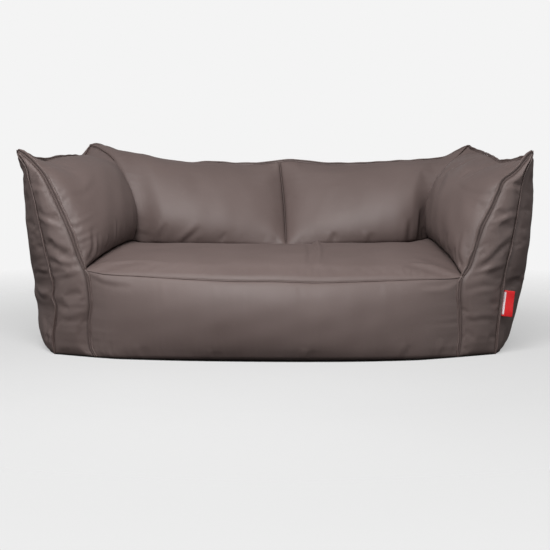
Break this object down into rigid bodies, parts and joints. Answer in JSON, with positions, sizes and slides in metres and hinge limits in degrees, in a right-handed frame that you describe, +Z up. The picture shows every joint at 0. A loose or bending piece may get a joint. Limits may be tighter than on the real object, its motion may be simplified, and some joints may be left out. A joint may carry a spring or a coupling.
{
  "type": "bean bag sofa",
  "caption": "Wide bean bag sofa with a low seat, bulging arms and back with pinched peaked corners, flanged welts, bead-filled liners and a hidden rear zip.",
  "frame": {"origin": "on the floor, at the middle of the sofa's footprint", "axes": "+Z up, -Y to the front where the sitter's legs go, +X to the right seen from the front"},
  "size_m": [1.9628, 1.0089, 0.786],
  "materials": {
    "leather": "fine-grained faux leather, semi-matt",
    "leather_welt": "folded and top-stitched faux leather edge",
    "base_fabric": "coarse non-slip woven cloth",
    "lining_cloth": "plain woven lining",
    "liner_cloth": "thin non-woven inner bag",
    "bead_fill": "expanded polystyrene beads",
    "zip_tape": "woven tape",
    "zip_plastic": "nylon coil teeth",
    "zip_metal": "dark enamelled slider",
    "label_cloth": "woven label, blank"
  },
  "bodies": {
    "sofa": {"back_bead_fill": "bead_fill", "back_centre_seam": "leather_welt", "back_liner": "liner_cloth", "back_outer_panel": "leather", "back_top_welt": "leather_welt", "base_panel": "base_fabric", "front_panel": "leather", "left_arm_bead_fill": "bead_fill", "left_arm_front_panel": "leather", "left_arm_inner_panel": "leather", "left_arm_inner_welt": "leather_welt", "left_arm_liner": "liner_cloth", "left_arm_outer_panel": "leather", "left_arm_outer_welt": "leather_welt", "left_arm_top_welt": "leather_welt", "left_back_inner_panel": "leather", "left_corner_partition": "lining_cloth", "left_front_seam_welt": "leather_welt", "left_inner_corner_welt": "leather_welt", "left_rear_corner_welt": "leather_welt", "left_seat_partition": "lining_cloth", "rear_seat_partition": "lining_cloth", "right_arm_bead_fill": "bead_fill", "right_arm_front_panel": "leather", "right_arm_inner_panel": "leather", "right_arm_inner_welt": "leather_welt", "right_arm_liner": "liner_cloth", "right_arm_outer_panel": "leather", "right_arm_outer_welt": "leather_welt", "right_arm_top_welt": "leather_welt", "right_back_inner_panel": "leather", "right_corner_partition": "lining_cloth", "right_front_seam_welt": "leather_welt", "right_inner_corner_welt": "leather_welt", "right_rear_corner_welt": "leather_welt", "right_seat_partition": "lining_cloth", "seat_bead_fill": "bead_fill", "seat_front_seam": "leather_welt", "seat_liner": "liner_cloth", "seat_top_panel": "leather", "zip_end_stops": "zip_plastic", "zip_lower_tape": "zip_tape", "zip_lower_teeth": "zip_plastic", "zip_upper_tape": "zip_tape", "zip_upper_teeth": "zip_plastic"},
    "zip_slider": {"zip_slider": "zip_metal"},
    "label": {"side_label": "label_cloth"}
  },
  "joints": [
    {"name": "zip_slide", "type": "slide", "parent": "sofa", "child": "zip_slider", "axis": [1, 0, 0], "range_m": [0, 0.8754]},
    {"name": "label_fold", "type": "hinge", "parent": "sofa", "child": "label", "pos_m": [0.85235, -0.33276, 0.19286], "axis": [0.106, 0.0494, 0.9931], "range_deg": [-100, 35], "stiffness_Nm_per_rad": 0.005}
  ]
}
